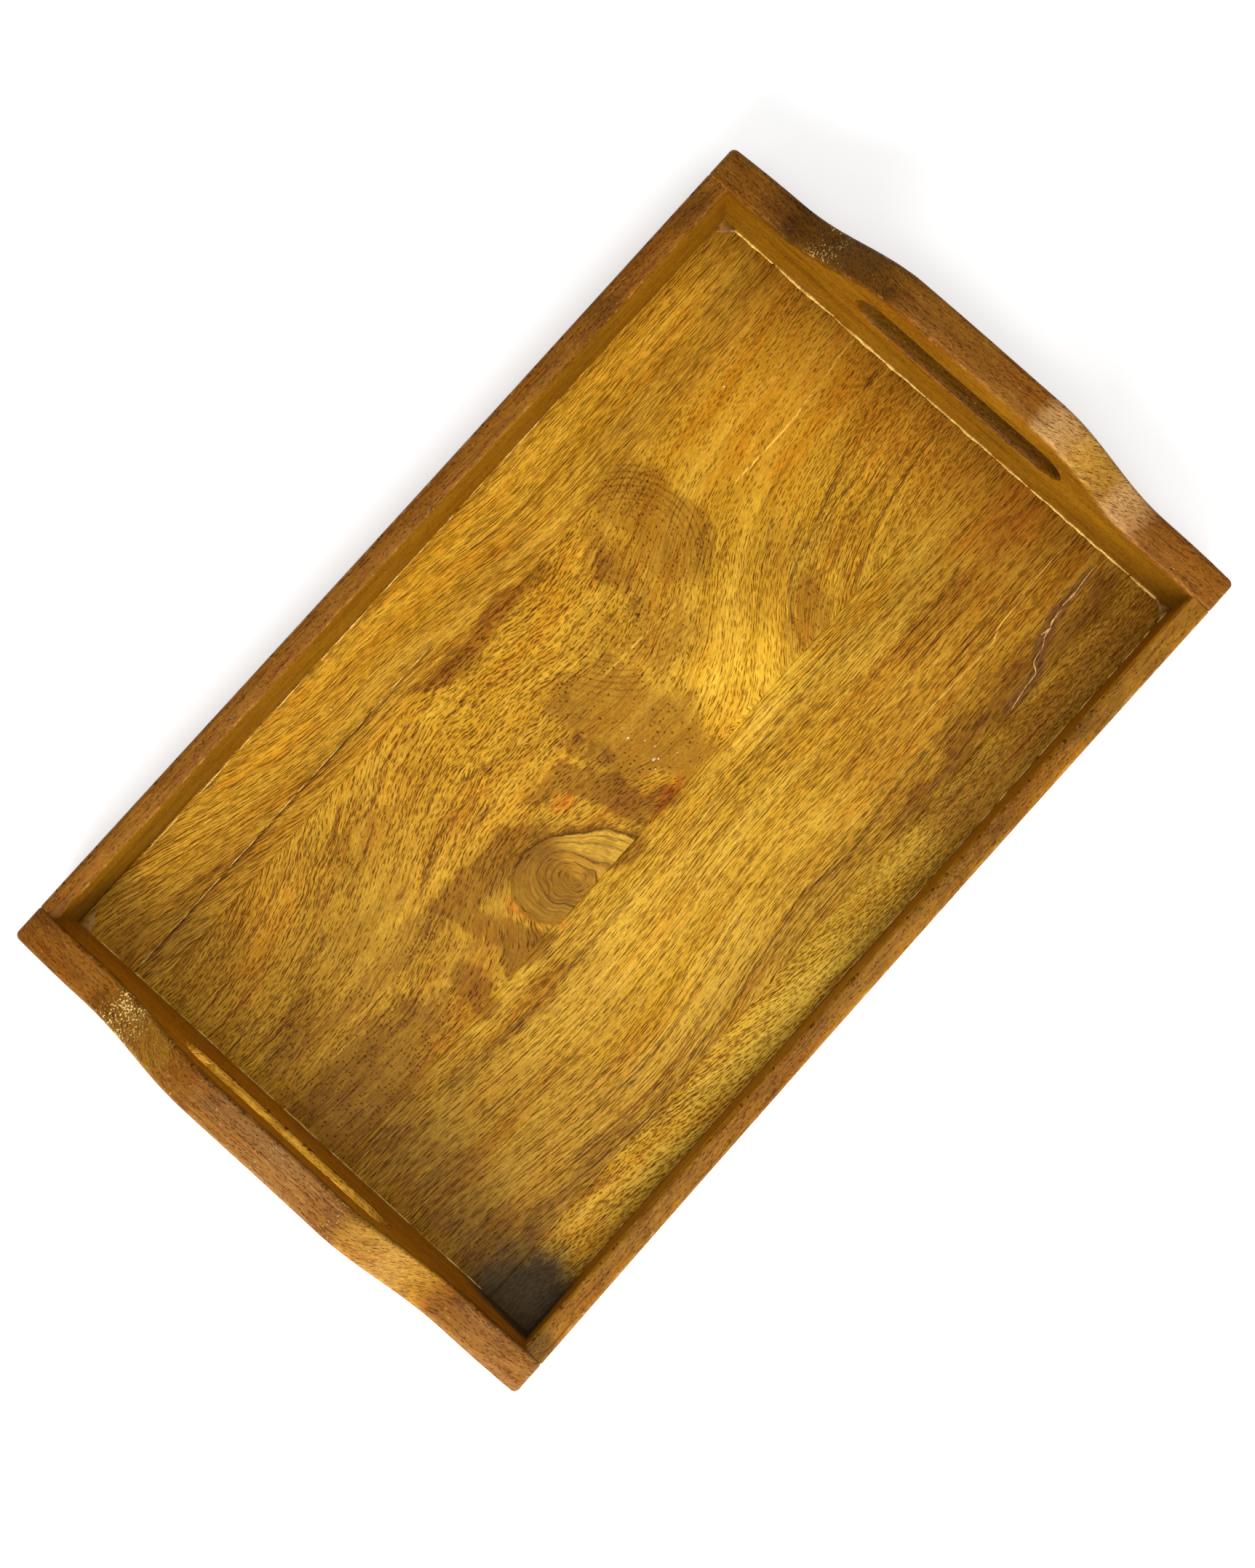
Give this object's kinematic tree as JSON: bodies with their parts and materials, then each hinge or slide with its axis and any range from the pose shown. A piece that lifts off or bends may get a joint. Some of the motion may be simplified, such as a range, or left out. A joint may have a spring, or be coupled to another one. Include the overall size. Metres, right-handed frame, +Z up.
{
  "type": "serving tray",
  "caption": "Rectangular wooden serving tray with raised end boards, rounded hand slots, low side rails and a floor of edge-glued staves.",
  "frame": {"origin": "centre of the tray's outline, on the plane that its bottom edges rest on", "axes": "+X along the tray's length towards the right end board, +Y across it towards the back side rail, +Z up"},
  "size_m": [0.4, 0.25, 0.075],
  "materials": {
    "end_wood": "satin lacquered mango wood, reddish brown with fine grain and pale specks",
    "rail_wood": "satin lacquered mango wood, reddish brown with straight fine grain",
    "floor_wood": "satin lacquered mango wood, golden ochre with dark pores, a knot and darker heartwood patches",
    "dowel_wood": "plain unfinished hardwood"
  },
  "bodies": {
    "root": {"end_board_left": "end_wood", "end_board_right": "end_wood", "side_rail_front": "rail_wood", "side_rail_back": "rail_wood", "floor_stave_1": "floor_wood", "floor_stave_2": "floor_wood", "floor_stave_3": "floor_wood", "floor_stave_4": "floor_wood", "corner_dowels": "dowel_wood"}
  },
  "joints": []
}
